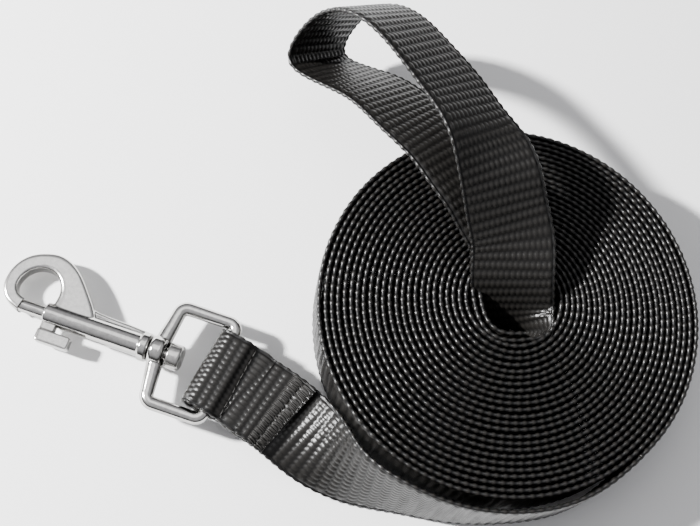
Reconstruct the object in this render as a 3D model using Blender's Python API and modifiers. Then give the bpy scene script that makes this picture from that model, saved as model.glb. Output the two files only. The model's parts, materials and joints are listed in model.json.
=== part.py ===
"""Long training leash: 25 mm webbing wound flat on edge, a sewn hand loop and a swivel bolt snap.

Everything is in metres with +Z up.  The coil lies on Z = 0 and the snap lies beside it at -X.
Sizes below are in millimetres and are turned into metres once, where the shapes are made.
"""

import math

import bmesh
import bpy
import numpy as np
from mathutils import Matrix, Vector

# ---- driving dimensions, millimetres -------------------------------------------------------
MM = 0.001
GAP = 0.3                       # running gap left between neighbouring solids
OVERCUT = 3.0                   # how far a cutter reaches past the faces it opens
ROUND_SIDES = 32                # flats round a barrel or hub
FINE_SIDES = 20                 # flats round a bore or rod

STRAP_WIDTH = 25.0
STRAP_THICK = 1.65

COIL_RADIUS = 57.6              # outer face of the outermost turn, where the lead leaves it
COIL_STEP = 2.0                 # how far the spiral outline falls back in one turn
COIL_LEAVE_DEG = -50.0          # where the lead leaves the coil
COIL_HOLE_RADIUS = 15.2
COIL_HOLE_CENTRE = (2.2, 3.2)

LAYER_PITCH = 2.1               # middle to middle of two strap layers sewn face to face

BAR_CENTRE = (-84.0, -17.5, 10.4)   # middle of the eye's rear bar, the hinge in the strap fold
SNAP_YAW_DEG = -19.2
SNAP_TILT_DEG = 5.0             # the eye end stands a little higher than the hook
FOLD_YAW_DEG = -28.5            # heading of the strap where it is folded over the bar

WIRE_RADIUS = 2.0               # eye wire
EYE_CORNER = 2.6                # bend radius of the eye's corners
EYE_HALF_WIDTH = 15.15          # to the middle of the side arms
EYE_FRONT_X = -17.9             # middle of the front corners, from the rear bar
HUB_FRONT_X = -21.9
HUB_LENGTH = 4.6
HUB_RADIUS = 4.6
HUB_CHAMFER = 0.8

SNAP_LENGTH = 72.2              # hook tip to the middle of the rear bar
BARREL_FRONT = 16.4             # distances along the snap, from the hook tip
BARREL_REAR = 47.0
COLLAR_REAR = 50.0
BARREL_RADIUS = 3.5
COLLAR_RADIUS = 4.4
EDGE_CHAMFER = 0.4              # barrel, collar and bolt ends
BORE_RADIUS = 2.35
BORE_REAR = 48.2
PIN_HOLE_RADIUS = 1.85
HOOK_THICK = 5.2
SLOT_REAR = 30.8
SLOT_WIDTH = 3.7
SLOT_DEPTH = 6.0                # reaches past the barrel wall, on the lever side
RIB_THICK = 1.6
RIB_OUTLINE = [(28.0, 2.0), (48.0, 2.0), (48.0, 4.4), (29.0, 5.6)]

BOLT_TIP = 7.9
BOLT_REAR = 28.0
BOLT_RADIUS = 2.0
STEM_LOW = (16.6, -6.2, -1.5)
STEM_HIGH = (21.2, -0.8, 1.5)
LEVER_LOW = (16.3, -9.0, -1.9)
LEVER_HIGH = (27.0, -5.0, 1.9)
LEVER_BEVEL = 0.9

SPRING_COILS = 8
SPRING_RADIUS = 1.75
SPRING_WIRE_RADIUS = 0.24

PIN_RADIUS = 1.45
PIN_FLANGE_RADIUS = 2.05
PIN_FLANGE = (46.9, 47.9)
PIN_HEAD_RADIUS = 3.9
PIN_HEAD = (56.0, 60.2)
PIN_HEAD_CHAMFER = 0.7

THREAD_THICK = 0.4

# Middle of the whole leash's footprint, measured from the middle of the coil.
FOOTPRINT_MIDDLE = (-46.234, 18.177)

# Hook plate outline in the snap's own plane: along the snap, then across it.
HOOK_OUTER = [(8.3, -2.3), (4.4, -0.6), (1.4, 3.2), (1.0, 6.6), (2.2, 11.2), (5.8, 15.4),
              (9.9, 17.3), (13.8, 18.0), (18.2, 16.9), (23.0, 13.5), (27.0, 9.2), (32.0, 2.6)]
HOOK_INNER = [(18.1, 3.2), (18.4, 6.4), (17.7, 8.9), (15.8, 11.2), (13.4, 12.3), (10.6, 12.3),
              (7.6, 10.9), (5.6, 8.0), (5.2, 5.2), (6.4, 3.2), (8.9, 2.6)]
HOOK_CORNERS = [(8.0, 0.0)]     # slanted end of the nose

# Strap routes: middle of the strap (x, y, z) and the direction across it (x, y, z).
# The lead starts behind the fold and ends against the coil, standing on edge.
LEAD_ROUTE = [
    (-74.5, -23.9, 9.4, 0.48, 0.88, 0.00), (-66.2, -29.4, 9.1, 0.48, 0.87, 0.06),
    (-58.5, -35.9, 9.4, 0.49, 0.80, 0.30), (-46.2, -46.8, 11.4, 0.27, 0.48, 0.83),
    (-31.6, -53.6, 12.7, 0.08, 0.20, 0.97), (-17.0, -57.9, 12.9, 0.02, 0.07, 1.00),
    (0.0, -59.2, 12.9, 0.00, 0.00, 1.00), (19.7, -55.2, 12.9, 0.00, 0.00, 1.00),
    (36.3, -43.7, 12.9, 0.00, 0.00, 1.00),
]
# The hand loop's upper strand, from inside the hole of the coil up to where it parts.
LOOP_BASE = [
    (-8.2, 4.9, 12.9, 0.00, 0.00, 1.00), (-5.9, -4.0, 12.9, 0.00, 0.00, 1.00),
    (2.5, -7.9, 12.9, 0.00, 0.00, 1.00), (9.8, -4.5, 13.6, 0.05, -0.05, 1.00),
    (9.5, 2.6, 16.0, 0.36, -0.16, 0.92), (5.7, 6.4, 21.4, 0.69, -0.10, 0.71),
    (3.1, 10.3, 28.0, 0.94, 0.10, 0.30), (0.6, 17.2, 34.0, 0.97, 0.20, 0.12),
]
# The open part of the hand loop: out over the coil, round its end and back underneath.
LOOP_OPEN = [
    (-2.0, 25.0, 39.0, 0.95, 0.25, 0.05), (-4.6, 33.1, 44.6, 0.94, 0.35, 0.00),
    (-11.7, 49.0, 48.7, 0.79, 0.43, -0.44), (-18.3, 60.3, 48.0, 0.76, 0.43, -0.49),
    (-25.9, 71.3, 47.0, 0.73, 0.44, -0.53), (-36.0, 84.0, 44.0, 0.73, 0.41, -0.55),
    (-44.2, 90.4, 37.0, 0.73, 0.40, -0.56), (-52.4, 89.7, 27.2, 0.74, 0.40, -0.55),
    (-56.2, 83.0, 17.8, 0.75, 0.40, -0.53), (-50.0, 76.6, 20.6, 0.77, 0.42, -0.47),
    (-37.7, 66.7, 29.0, 0.76, 0.48, -0.43), (-28.7, 56.2, 34.0, 0.76, 0.54, -0.36),
    (-20.2, 46.9, 36.5, 0.77, 0.57, -0.28), (-14.2, 38.8, 36.8, 0.82, 0.53, -0.20),
    (-9.0, 32.4, 36.2, 0.86, 0.47, -0.10), (-4.4, 26.0, 34.4, 0.92, 0.35, 0.00),
]
# Fold over the eye's bar: distance behind the bar, height over its middle.
FOLD_NOSE_X = -2.1
FOLD_NOSE_RADIUS = 3.15
FOLD_UPPER = [(8.0, 1.15), (6.2, 1.45), (3.7, 2.95), (1.4, 3.15)]
FOLD_SHIFT = -0.5               # the fold sits this far along the bar from its middle
TAIL_LENGTH = 14.5              # free end of the fold, past the start of the lead

# Thread patches: where they start and stop, and how wide they are.
ROW_BEHIND_BAR = (6.8, 8.4)
ROW_HEIGHT = 1.5                # strap middle over the bar's middle, there
ROW_WIDTH = 20.0
BARTACK_RUN = (7.5, 14.0)       # from the start of the lead
BARTACK_WIDTH = 21.0
LOOP_BOX_STATIONS = slice(2, 17)
LOOP_BOX_WIDTH = 19.0


# ---- small tools ---------------------------------------------------------------------------
def clear_scene():
    """Remove every object that is already in the scene."""
    for old in list(bpy.data.objects):
        bpy.data.objects.remove(old, do_unlink=True)


def collection(name):
    """Return a new collection linked to the scene."""
    made = bpy.data.collections.new(name)
    bpy.context.scene.collection.children.link(made)
    return made


def material(name, colour, roughness, metallic):
    """Return a plain Principled material."""
    made = bpy.data.materials.new(name)
    made.use_nodes = True
    shader = made.node_tree.nodes["Principled BSDF"]
    shader.inputs["Base Color"].default_value = (*colour, 1.0)
    shader.inputs["Roughness"].default_value = roughness
    shader.inputs["Metallic"].default_value = metallic
    return made


def link(obj, group, finish=None, parent=None):
    """Put an object in a collection, under a parent, with a finish."""
    for other in list(obj.users_collection):
        other.objects.unlink(obj)
    group.objects.link(obj)
    if parent is not None:
        obj.parent = parent
    if finish is not None:
        obj.data.materials.clear()
        obj.data.materials.append(finish)
    return obj


def smooth_shading(obj, angle_deg=35.0):
    """Shade round faces smooth and keep the real edges sharp."""
    obj.data.shade_smooth()
    obj.data.set_sharp_from_angle(angle=math.radians(angle_deg))


def through(points, steps):
    """Catmull-Rom curve through rows of numbers, `steps` samples to a span."""
    rows = np.asarray(points, float)
    ends = np.vstack([2 * rows[0] - rows[1], rows, 2 * rows[-1] - rows[-2]])
    out = []
    for i in range(1, len(ends) - 2):
        before, start, stop, after = ends[i - 1:i + 3]
        for u in np.arange(steps) / steps:
            out.append(0.5 * (2 * start + (stop - before) * u
                              + (2 * before - 5 * start + 4 * stop - after) * u ** 2
                              + (3 * start - before - 3 * stop + after) * u ** 3))
    out.append(rows[-1])
    return np.array(out)


def strap_frame(rows):
    """Split route rows into middles and unit directions across, square to the run."""
    middle = rows[:, :3]
    run = np.gradient(middle, axis=0)
    run /= np.linalg.norm(run, axis=1)[:, None]
    across = rows[:, 3:6] - run * (rows[:, 3:6] * run).sum(axis=1)[:, None]
    across /= np.linalg.norm(across, axis=1)[:, None]
    return middle, across, np.cross(across, run)


def solid_from_curve(obj, group):
    """Turn a curve object into a closed mesh object and remove the curve."""
    bpy.context.view_layer.update()
    graph = bpy.context.evaluated_depsgraph_get()
    mesh = bpy.data.meshes.new_from_object(obj.evaluated_get(graph))
    work = bmesh.new()
    work.from_mesh(mesh)
    bmesh.ops.remove_doubles(work, verts=work.verts, dist=0.00001)
    bmesh.ops.recalc_face_normals(work, faces=work.faces)
    work.to_mesh(mesh)
    work.free()
    made = bpy.data.objects.new(obj.name + "_solid", mesh)
    made.matrix_world = obj.matrix_world
    group.objects.link(made)
    bpy.data.objects.remove(obj, do_unlink=True)
    return made


def flat_plate(name, outlines, thick, group):
    """Extrude closed outlines in X and Y (millimetres) to a plate centred on Z = 0."""
    data = bpy.data.curves.new(name, "CURVE")
    data.dimensions = "2D"
    data.fill_mode = "BOTH"
    data.extrude = thick / 2 * MM
    for outline in outlines:
        spline = data.splines.new("POLY")
        spline.points.add(len(outline) - 1)
        for point, (x, y) in zip(spline.points, outline):
            point.co = (x * MM, y * MM, 0.0, 1.0)
        spline.use_cyclic_u = True
    obj = bpy.data.objects.new(name, data)
    group.objects.link(obj)
    return solid_from_curve(obj, group)


def wire(name, points, radius, group, closed=False):
    """Round wire along points in millimetres, as a mesh object."""
    data = bpy.data.curves.new(name, "CURVE")
    data.dimensions = "3D"
    data.bevel_depth = radius * MM
    data.bevel_resolution = 2
    data.use_fill_caps = not closed
    spline = data.splines.new("POLY")
    spline.points.add(len(points) - 1)
    for point, co in zip(spline.points, points):
        point.co = (co[0] * MM, co[1] * MM, co[2] * MM, 1.0)
    spline.use_cyclic_u = closed
    obj = bpy.data.objects.new(name, data)
    group.objects.link(obj)
    return solid_from_curve(obj, group)


def turned(name, profile, group, sides=ROUND_SIDES):
    """Turn a profile of (x, radius) millimetres about the X axis, from the front to the rear.

    The profile stands at +X as the Screw modifier wants it, turns about Z, and the finished
    shape is laid down so that Z becomes the snap's -X.
    """
    mesh = bpy.data.meshes.new(name)
    rows = [(0.0, profile[0][0])] + [(r, x) for x, r in profile] + [(0.0, profile[-1][0])]
    points = [(r * MM, 0.0, -x * MM) for r, x in rows]
    mesh.from_pydata(points, [(i, i + 1) for i in range(len(points) - 1)], [])
    obj = bpy.data.objects.new(name, mesh)
    group.objects.link(obj)
    screw = obj.modifiers.new("Turn", "SCREW")
    screw.steps = sides
    screw.render_steps = sides
    screw.use_merge_vertices = True
    screw.merge_threshold = 0.00001
    bake(obj)
    obj.data.transform(Matrix.Rotation(math.radians(-90.0), 4, "Y"))
    return obj


def bake(obj):
    """Apply an object's modifiers to its mesh."""
    bpy.context.view_layer.update()
    graph = bpy.context.evaluated_depsgraph_get()
    mesh = bpy.data.meshes.new_from_object(obj.evaluated_get(graph))
    obj.modifiers.clear()
    obj.data = mesh


def block(name, low, high, group):
    """Box between two corners in millimetres."""
    work = bmesh.new()
    bmesh.ops.create_cube(work, size=1.0)
    size = [(b - a) * MM for a, b in zip(low, high)]
    middle = [(a + b) / 2 * MM for a, b in zip(low, high)]
    bmesh.ops.scale(work, vec=size, verts=work.verts)
    bmesh.ops.translate(work, vec=middle, verts=work.verts)
    mesh = bpy.data.meshes.new(name)
    work.to_mesh(mesh)
    work.free()
    obj = bpy.data.objects.new(name, mesh)
    group.objects.link(obj)
    return obj


def join(obj, other, operation):
    """Boolean one object with another, which becomes a hidden guide."""
    step = obj.modifiers.new(operation.title() + "_" + other.name, "BOOLEAN")
    step.operation = operation
    step.solver = "EXACT"
    step.object = other
    other.hide_render = True
    other.display_type = "WIRE"


def soften(obj, width, segments=1, angle_deg=40.0):
    """Bevel an object's real edges."""
    bevel = obj.modifiers.new("Soft_edges", "BEVEL")
    bevel.width = width * MM
    bevel.segments = segments
    bevel.limit_method = "ANGLE"
    bevel.angle_limit = math.radians(angle_deg)


def ribbon(name, middle, across, width, thick, group, finish):
    """Strap solid: an open strip two points wide, thickened evenly both ways."""
    half = across * width / 2
    points = np.vstack([middle - half, middle + half]) * MM
    count = len(middle)
    faces = [(i, i + 1, count + i + 1, count + i) for i in range(count - 1)]
    mesh = bpy.data.meshes.new(name)
    mesh.from_pydata(points.tolist(), [], faces)
    obj = bpy.data.objects.new(name, mesh)
    wall = obj.modifiers.new("Webbing", "SOLIDIFY")
    wall.thickness = thick * MM
    wall.offset = 0.0
    link(obj, group, finish)
    return obj


# ---- the strap -----------------------------------------------------------------------------
def lead_rows():
    """Rows of the lead from behind the fold to the coil."""
    return through(LEAD_ROUTE, 6)


def make_coil(group, guides, finish):
    """The wound strap as one solid: a spiral outline with the hole for the hand loop."""
    turn = np.radians(COIL_LEAVE_DEG + np.linspace(0.0, 360.0, 81))
    radius = COIL_RADIUS - COIL_STEP * np.linspace(0.0, 1.0, 81)
    outer = np.stack([radius * np.cos(turn), radius * np.sin(turn)], axis=1)
    hole_turn = np.linspace(0.0, 2 * math.pi, 41)[:-1]
    hole = np.stack([COIL_HOLE_CENTRE[0] + COIL_HOLE_RADIUS * np.cos(hole_turn),
                     COIL_HOLE_CENTRE[1] + COIL_HOLE_RADIUS * np.sin(hole_turn)], axis=1)
    obj = flat_plate("coil", [outer, hole], STRAP_WIDTH, guides)
    obj.name = "strap_coil"
    obj.location = (0.0, 0.0, STRAP_WIDTH / 2 * MM)
    return link(obj, group, finish)


def fold_axes():
    """Middle of the fold, the direction of the strap behind it and the direction across it."""
    yaw = math.radians(FOLD_YAW_DEG)
    heading = np.array([math.cos(yaw), math.sin(yaw), 0.0])
    side = np.array([-heading[1], heading[0], 0.0])
    return np.array(BAR_CENTRE) + side * FOLD_SHIFT, heading, side


def lengths(middle):
    """Distance of each point of a line from its start."""
    return np.r_[0.0, np.cumsum(np.linalg.norm(np.diff(middle, axis=0), axis=1))]


def make_lead(group, finish):
    """Tail, fold over the eye's bar and twisted lead, one strip of webbing."""
    middle, across, face = strap_frame(lead_rows())
    tail_rows = lengths(middle) <= TAIL_LENGTH
    tail = np.hstack([middle - face * LAYER_PITCH, across])[tail_rows][::-1]
    centre, heading, side = fold_axes()
    nose = [(FOLD_NOSE_X - FOLD_NOSE_RADIUS * math.sin(a), FOLD_NOSE_RADIUS * math.cos(a))
            for a in np.linspace(0.0, math.pi, 9)]
    lower = [(x, -z) for x, z in reversed(FOLD_UPPER)]
    fold = [np.r_[centre + heading * x + np.array([0.0, 0.0, z]), side]
            for x, z in FOLD_UPPER + nose + lower]
    rows = np.vstack([tail, np.array(fold), np.hstack([middle, across])])
    middle, across, _ = strap_frame(rows)
    return ribbon("strap_lead", middle, across, STRAP_WIDTH, STRAP_THICK, group, finish)


def make_hand_loop(group, finish):
    """Both strands of the hand loop and the end round which they turn, one strip of webbing."""
    base = np.array(LOOP_BASE)
    middle, across, face = strap_frame(through(LOOP_BASE, 4))
    under = np.hstack([middle - face * LAYER_PITCH, across])[::-1][1:]
    upper = through(np.vstack([base, LOOP_OPEN, under[:2]]), 4)
    rows = np.vstack([upper, under[2:]])
    middle, across, _ = strap_frame(rows)
    return ribbon("hand_loop", middle, across, STRAP_WIDTH, STRAP_THICK, group, finish)


def make_stitching(group, finish):
    """Thread patches: two on the folded tail and one on the hand loop's base."""
    lift = STRAP_THICK / 2 + GAP + THREAD_THICK / 2
    centre, heading, side = fold_axes()
    row = np.array([centre + heading * x + np.array([0.0, 0.0, ROW_HEIGHT + lift])
                    for x in np.linspace(*ROW_BEHIND_BAR, 3)])
    ribbon("eye_stitch_row", row, np.broadcast_to(side, row.shape), ROW_WIDTH, THREAD_THICK,
           group, finish)
    middle, across, face = strap_frame(lead_rows())
    run, where = lengths(middle), np.linspace(*BARTACK_RUN, 5)
    tack, tack_across = [np.array([np.interp(where, run, part[:, k]) for k in range(3)]).T
                         for part in (middle - face * (LAYER_PITCH + lift), across)]
    ribbon("eye_bartack", tack, tack_across, BARTACK_WIDTH, THREAD_THICK, group, finish)
    middle, across, face = strap_frame(through(LOOP_BASE[:4], 6))
    ribbon("loop_box_stitch", (middle + face * lift)[LOOP_BOX_STATIONS], across[LOOP_BOX_STATIONS],
           LOOP_BOX_WIDTH, THREAD_THICK, group, finish)


# ---- the swivel snap -----------------------------------------------------------------------
def along(x):
    """Distance from the hook tip to a place on the snap's own X axis."""
    return x - SNAP_LENGTH


def make_eye(group, guides, finish, parent):
    """Square eye: a round wire frame with a bored hub in the middle of its front bar."""
    rear, front, side = -EYE_CORNER, EYE_FRONT_X + EYE_CORNER, EYE_HALF_WIDTH - EYE_CORNER
    half = [(0.0, 0.0), (0.0, side)]
    half += [(rear + EYE_CORNER * math.cos(a), side + EYE_CORNER * math.sin(a))
             for a in np.radians([30.0, 60.0, 90.0])]
    half += [(front, EYE_HALF_WIDTH)]
    half += [(front - EYE_CORNER * math.sin(a), side + EYE_CORNER * math.cos(a))
             for a in np.radians([30.0, 60.0, 85.0])]
    half += [(HUB_FRONT_X + HUB_LENGTH / 2, HUB_RADIUS - 1.6)]
    frame = half + [(x, -y) for x, y in reversed(half[1:])]
    eye = wire("eye_wire", [(x, y, 0.0) for x, y in frame], WIRE_RADIUS, guides, closed=True)
    eye.name = "square_eye"
    hub_rear = HUB_FRONT_X + HUB_LENGTH
    hub = turned("hub", [(HUB_FRONT_X, HUB_RADIUS - HUB_CHAMFER), (HUB_FRONT_X + HUB_CHAMFER, HUB_RADIUS),
                         (hub_rear - HUB_CHAMFER, HUB_RADIUS), (hub_rear, HUB_RADIUS - HUB_CHAMFER)],
                 guides)
    hole = turned("hub_hole", [(HUB_FRONT_X - OVERCUT, PIN_HOLE_RADIUS),
                               (hub_rear + OVERCUT, PIN_HOLE_RADIUS)], guides, FINE_SIDES)
    join(eye, hub, "UNION")
    join(eye, hole, "DIFFERENCE")
    for guide in (hub, hole):
        guide.parent = parent
    return link(eye, group, finish, parent)


def make_snap_body(group, guides, finish, parent):
    """Hook, barrel, collar and back rib, one casting, bored for the bolt and slotted for its lever."""
    outline = np.vstack([through(HOOK_OUTER, 4), through(HOOK_INNER, 4), HOOK_CORNERS])
    hook = flat_plate("hook", [[(along(x), y) for x, y in outline]], HOOK_THICK, guides)
    hook.name = "snap_body"
    barrel = turned("barrel", [(along(BARREL_FRONT), BARREL_RADIUS - EDGE_CHAMFER),
                               (along(BARREL_FRONT + EDGE_CHAMFER), BARREL_RADIUS),
                               (along(BARREL_REAR), BARREL_RADIUS),
                               (along(BARREL_REAR + 1.0), COLLAR_RADIUS),
                               (along(COLLAR_REAR - EDGE_CHAMFER), COLLAR_RADIUS),
                               (along(COLLAR_REAR), COLLAR_RADIUS - EDGE_CHAMFER)], guides)
    rib = flat_plate("rib", [[(along(x), y) for x, y in RIB_OUTLINE]], RIB_THICK, guides)
    bore = turned("bore", [(along(BARREL_FRONT - OVERCUT), BORE_RADIUS), (along(BORE_REAR), BORE_RADIUS)],
                  guides, FINE_SIDES)
    nose_seat = turned("nose_seat", [(along(BOLT_TIP - GAP), BORE_RADIUS),
                                     (along(BARREL_FRONT - 2.0), BORE_RADIUS)], guides, FINE_SIDES)
    pin_hole = turned("pin_hole", [(along(BORE_REAR - 1.0), PIN_HOLE_RADIUS),
                                   (along(COLLAR_REAR + 1.0), PIN_HOLE_RADIUS)], guides, FINE_SIDES)
    slot = block("slot", (along(BARREL_FRONT - 1.0), -SLOT_DEPTH, -SLOT_WIDTH / 2),
                 (along(SLOT_REAR), 0.0, SLOT_WIDTH / 2), guides)
    join(hook, barrel, "UNION")
    join(hook, rib, "UNION")
    for cutter in (bore, nose_seat, pin_hole, slot):
        join(hook, cutter, "DIFFERENCE")
    for guide in (barrel, rib, bore, nose_seat, pin_hole, slot):
        guide.parent = parent
    return link(hook, group, finish, parent)


def make_bolt(group, guides, finish, parent):
    """Sliding bolt and its thumb lever, one casting."""
    bolt = turned("rod", [(along(BOLT_TIP), BOLT_RADIUS - EDGE_CHAMFER),
                          (along(BOLT_TIP + EDGE_CHAMFER), BOLT_RADIUS),
                          (along(BOLT_REAR), BOLT_RADIUS)], guides, FINE_SIDES)
    bolt.name = "snap_bolt"
    stem, lever = [block(name, (along(low[0]), *low[1:]), (along(high[0]), *high[1:]), guides)
                   for name, low, high in (("stem", STEM_LOW, STEM_HIGH), ("lever", LEVER_LOW, LEVER_HIGH))]
    soften(lever, LEVER_BEVEL)
    join(bolt, stem, "UNION")
    join(bolt, lever, "UNION")
    for guide in (stem, lever):
        guide.parent = parent
    return link(bolt, group, finish, parent)


def make_spring(group, guides, finish, parent):
    """Compression spring between the bolt and the rivet's flange, inside the barrel."""
    start = along(BOLT_REAR + GAP + SPRING_WIRE_RADIUS)
    stop = along(PIN_FLANGE[0] - GAP - SPRING_WIRE_RADIUS)
    turn = np.linspace(0.0, 2 * math.pi * SPRING_COILS, 9 * SPRING_COILS + 1)
    points = np.stack([np.linspace(start, stop, len(turn)), SPRING_RADIUS * np.cos(turn),
                       SPRING_RADIUS * np.sin(turn)], axis=1)
    spring = wire("spring", points, SPRING_WIRE_RADIUS, guides)
    spring.name = "bolt_spring"
    return link(spring, group, finish, parent)


def make_rivet(group, guides, finish, parent):
    """Swivel rivet: flange inside the barrel, shank through collar and hub, head inside the eye."""
    rivet = turned("rivet", [(along(PIN_FLANGE[0]), PIN_FLANGE_RADIUS),
                             (along(PIN_FLANGE[1]), PIN_FLANGE_RADIUS),
                             (along(PIN_FLANGE[1]), PIN_RADIUS), (along(PIN_HEAD[0]), PIN_RADIUS),
                             (along(PIN_HEAD[0]), PIN_HEAD_RADIUS),
                             (along(PIN_HEAD[1] - PIN_HEAD_CHAMFER), PIN_HEAD_RADIUS),
                             (along(PIN_HEAD[1]), PIN_HEAD_RADIUS - PIN_HEAD_CHAMFER)], guides)
    rivet.name = "swivel_rivet"
    return link(rivet, group, finish, parent)


def main():
    """Build the leash."""
    clear_scene()
    group = collection("training_leash")
    guides = collection("leash_cutters")
    webbing = material("black_webbing", (0.012, 0.012, 0.014), 0.55, 0.0)
    thread = material("black_thread", (0.02, 0.02, 0.02), 0.6, 0.0)
    plate = material("bright_plate", (0.78, 0.77, 0.74), 0.12, 1.0)
    steel = material("spring_steel", (0.5, 0.5, 0.5), 0.3, 1.0)

    strap = [make_coil(group, guides, webbing), make_lead(group, webbing), make_hand_loop(group, webbing)]
    make_stitching(group, thread)

    pivot = bpy.data.objects.new("eye_pivot", None)
    group.objects.link(pivot)
    pivot.location = [c * MM for c in BAR_CENTRE]
    pivot.rotation_euler = (0.0, math.radians(-SNAP_TILT_DEG), math.radians(SNAP_YAW_DEG))
    make_eye(group, guides, plate, pivot)
    make_snap_body(group, guides, plate, pivot)
    make_bolt(group, guides, plate, pivot)
    make_spring(group, guides, steel, pivot)
    make_rivet(group, guides, plate, pivot)

    shift = Vector((-FOOTPRINT_MIDDLE[0] * MM, -FOOTPRINT_MIDDLE[1] * MM, 0.0))
    for obj in group.objects:
        if obj.parent is None:
            obj.location = obj.location + shift
        if obj.type == "MESH" and obj not in strap:
            smooth_shading(obj)


main()
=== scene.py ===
"""Looks of a long training leash: woven webbing wound on edge, its hand loop and its swivel snap.

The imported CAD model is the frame.  The strap is one continuous route (tail, fold, lead, wound
turns, hand loop) that is cut into pieces, and every thread crossing of the weave is real shape.
Local sizes are in millimetres and are turned into metres when a mesh is made.
"""

import json
import logging
import math
from dataclasses import dataclass, field
from enum import Enum

import bpy
import numpy as np
from mathutils import Matrix, Vector


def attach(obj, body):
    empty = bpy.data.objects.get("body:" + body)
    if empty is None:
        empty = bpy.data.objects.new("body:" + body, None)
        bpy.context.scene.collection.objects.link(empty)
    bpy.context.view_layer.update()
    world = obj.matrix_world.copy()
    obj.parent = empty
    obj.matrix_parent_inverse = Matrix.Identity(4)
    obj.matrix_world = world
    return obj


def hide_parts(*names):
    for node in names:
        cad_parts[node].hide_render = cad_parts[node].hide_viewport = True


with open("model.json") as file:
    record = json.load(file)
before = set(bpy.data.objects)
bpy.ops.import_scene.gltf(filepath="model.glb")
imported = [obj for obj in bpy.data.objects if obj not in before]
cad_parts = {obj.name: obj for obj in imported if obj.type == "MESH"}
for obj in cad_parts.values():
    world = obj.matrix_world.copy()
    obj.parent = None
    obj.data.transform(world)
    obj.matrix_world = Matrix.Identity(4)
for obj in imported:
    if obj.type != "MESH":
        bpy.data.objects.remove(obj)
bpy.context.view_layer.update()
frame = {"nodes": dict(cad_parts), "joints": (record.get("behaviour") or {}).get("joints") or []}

LOG = logging.getLogger("training_leash")
MM = 0.001
FINE_SIDES = 96                     # points round a large turned surface
BORE_SIDES = 64
PIN_SIDES = 48
WIRE_SIDES = 32

Socket = bpy.types.NodeSocket
Colour = tuple[float, float, float]
Pairs = tuple[tuple[float, float], ...]
Rows = tuple[tuple[float, ...], ...]


class Body(Enum):
    """The CAD bodies that pieces ride on."""

    STRAP = "strap"
    EYE = "eye"
    SNAP = "snap"
    BOLT = "bolt"


# ---- shapes --------------------------------------------------------------------------------
@dataclass
class Shape:
    """Vertices in millimetres with the faces between them, and values kept at each vertex."""

    points: np.ndarray
    quads: np.ndarray
    fans: np.ndarray
    values: dict[str, np.ndarray] = field(default_factory=dict)


def loft(rings: np.ndarray, values: dict[str, np.ndarray] | None = None) -> Shape:
    """Skin closed rings one after the other and close both ends with a fan of triangles.

    Args:
        rings: Points of shape (rings, points in a ring, 3).
        values: Extra values at each ring point, of shape (rings, points in a ring, ...).

    Returns:
        A closed shape whose faces point outwards.
    """
    count, size, _ = rings.shape
    index = np.arange(count * size).reshape(count, size)
    turned = np.roll(index, -1, axis=1)
    quads = np.stack([index[:-1], index[1:], turned[1:], turned[:-1]], axis=-1).reshape(-1, 4)
    middles = np.stack([rings[0].mean(axis=0), rings[-1].mean(axis=0)])
    first, last = count * size, count * size + 1
    fans = np.vstack([
        np.stack([np.full(size, first), index[0], turned[0]], axis=-1),
        np.stack([np.full(size, last), turned[-1], index[-1]], axis=-1),
    ])
    points = np.vstack([rings.reshape(-1, 3), middles])
    kept = {}
    for name, value in (values or {}).items():
        flat = value.reshape(count * size, -1)
        kept[name] = np.vstack([flat, flat[:1], flat[-1:]])
    shape = Shape(points, quads, fans, kept)
    return shape if enclosed(shape) > 0 else flipped(shape)


def enclosed(shape: Shape) -> float:
    """Return the signed volume inside a closed shape, positive when its faces point outwards."""
    total = 0.0
    halves = (shape.quads[:, [0, 1, 2]], shape.quads[:, [0, 2, 3]], shape.fans)
    for corners in halves:
        a, b, c = (shape.points[corners[:, k]] for k in range(3))
        total += float((a * np.cross(b, c)).sum()) / 6
    return total


def flipped(shape: Shape) -> Shape:
    """Return the shape with every face turned over."""
    return Shape(shape.points, shape.quads[:, ::-1], shape.fans[:, ::-1], shape.values)


def joined(shapes: list[Shape]) -> Shape:
    """Return several shapes as one, without welding them."""
    starts = np.cumsum([0] + [len(s.points) for s in shapes[:-1]])
    return Shape(
        np.vstack([s.points for s in shapes]),
        np.vstack([s.quads + n for s, n in zip(shapes, starts)]),
        np.vstack([s.fans + n for s, n in zip(shapes, starts)]),
    )


def tube(path: np.ndarray, radius: float | np.ndarray, sides: int) -> Shape:
    """Round bar along a path.

    At each point a circle stands square to the path: two directions square to the run are found
    from a fixed one that is far from every run direction, and the circle is their cosine and
    sine mix.

    Args:
        path: Points of shape (n, 3).
        radius: One radius, or one for each point.
        sides: Number of points round the bar.

    Returns:
        The closed bar.
    """
    run = np.gradient(path, axis=0)
    run /= np.linalg.norm(run, axis=1)[:, None]
    guide = np.eye(3)[int(np.argmin(np.abs(run).max(axis=0)))]
    first = np.cross(run, guide)
    first /= np.linalg.norm(first, axis=1)[:, None]
    second = np.cross(run, first)
    turn = np.linspace(0, 2 * math.pi, sides, endpoint=False)
    size = np.broadcast_to(np.asarray(radius, float), (len(path),))[:, None, None]
    rings = (path[:, None, :] + size * (np.cos(turn)[None, :, None] * first[:, None, :]
                                        + np.sin(turn)[None, :, None] * second[:, None, :]))
    return loft(rings)


def turned(profile: list[tuple[float, float]], sides: int = FINE_SIDES) -> Shape:
    """Turn a profile of (x, radius) about the X axis: y and z are radius times cosine and sine."""
    rows = np.array(profile)
    turn = np.linspace(0, 2 * math.pi, sides, endpoint=False)
    rings = np.stack([
        np.broadcast_to(rows[:, :1], (len(rows), sides)),
        rows[:, 1:] * np.cos(turn)[None, :],
        rows[:, 1:] * np.sin(turn)[None, :],
    ], axis=-1)
    return loft(rings)


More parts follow.
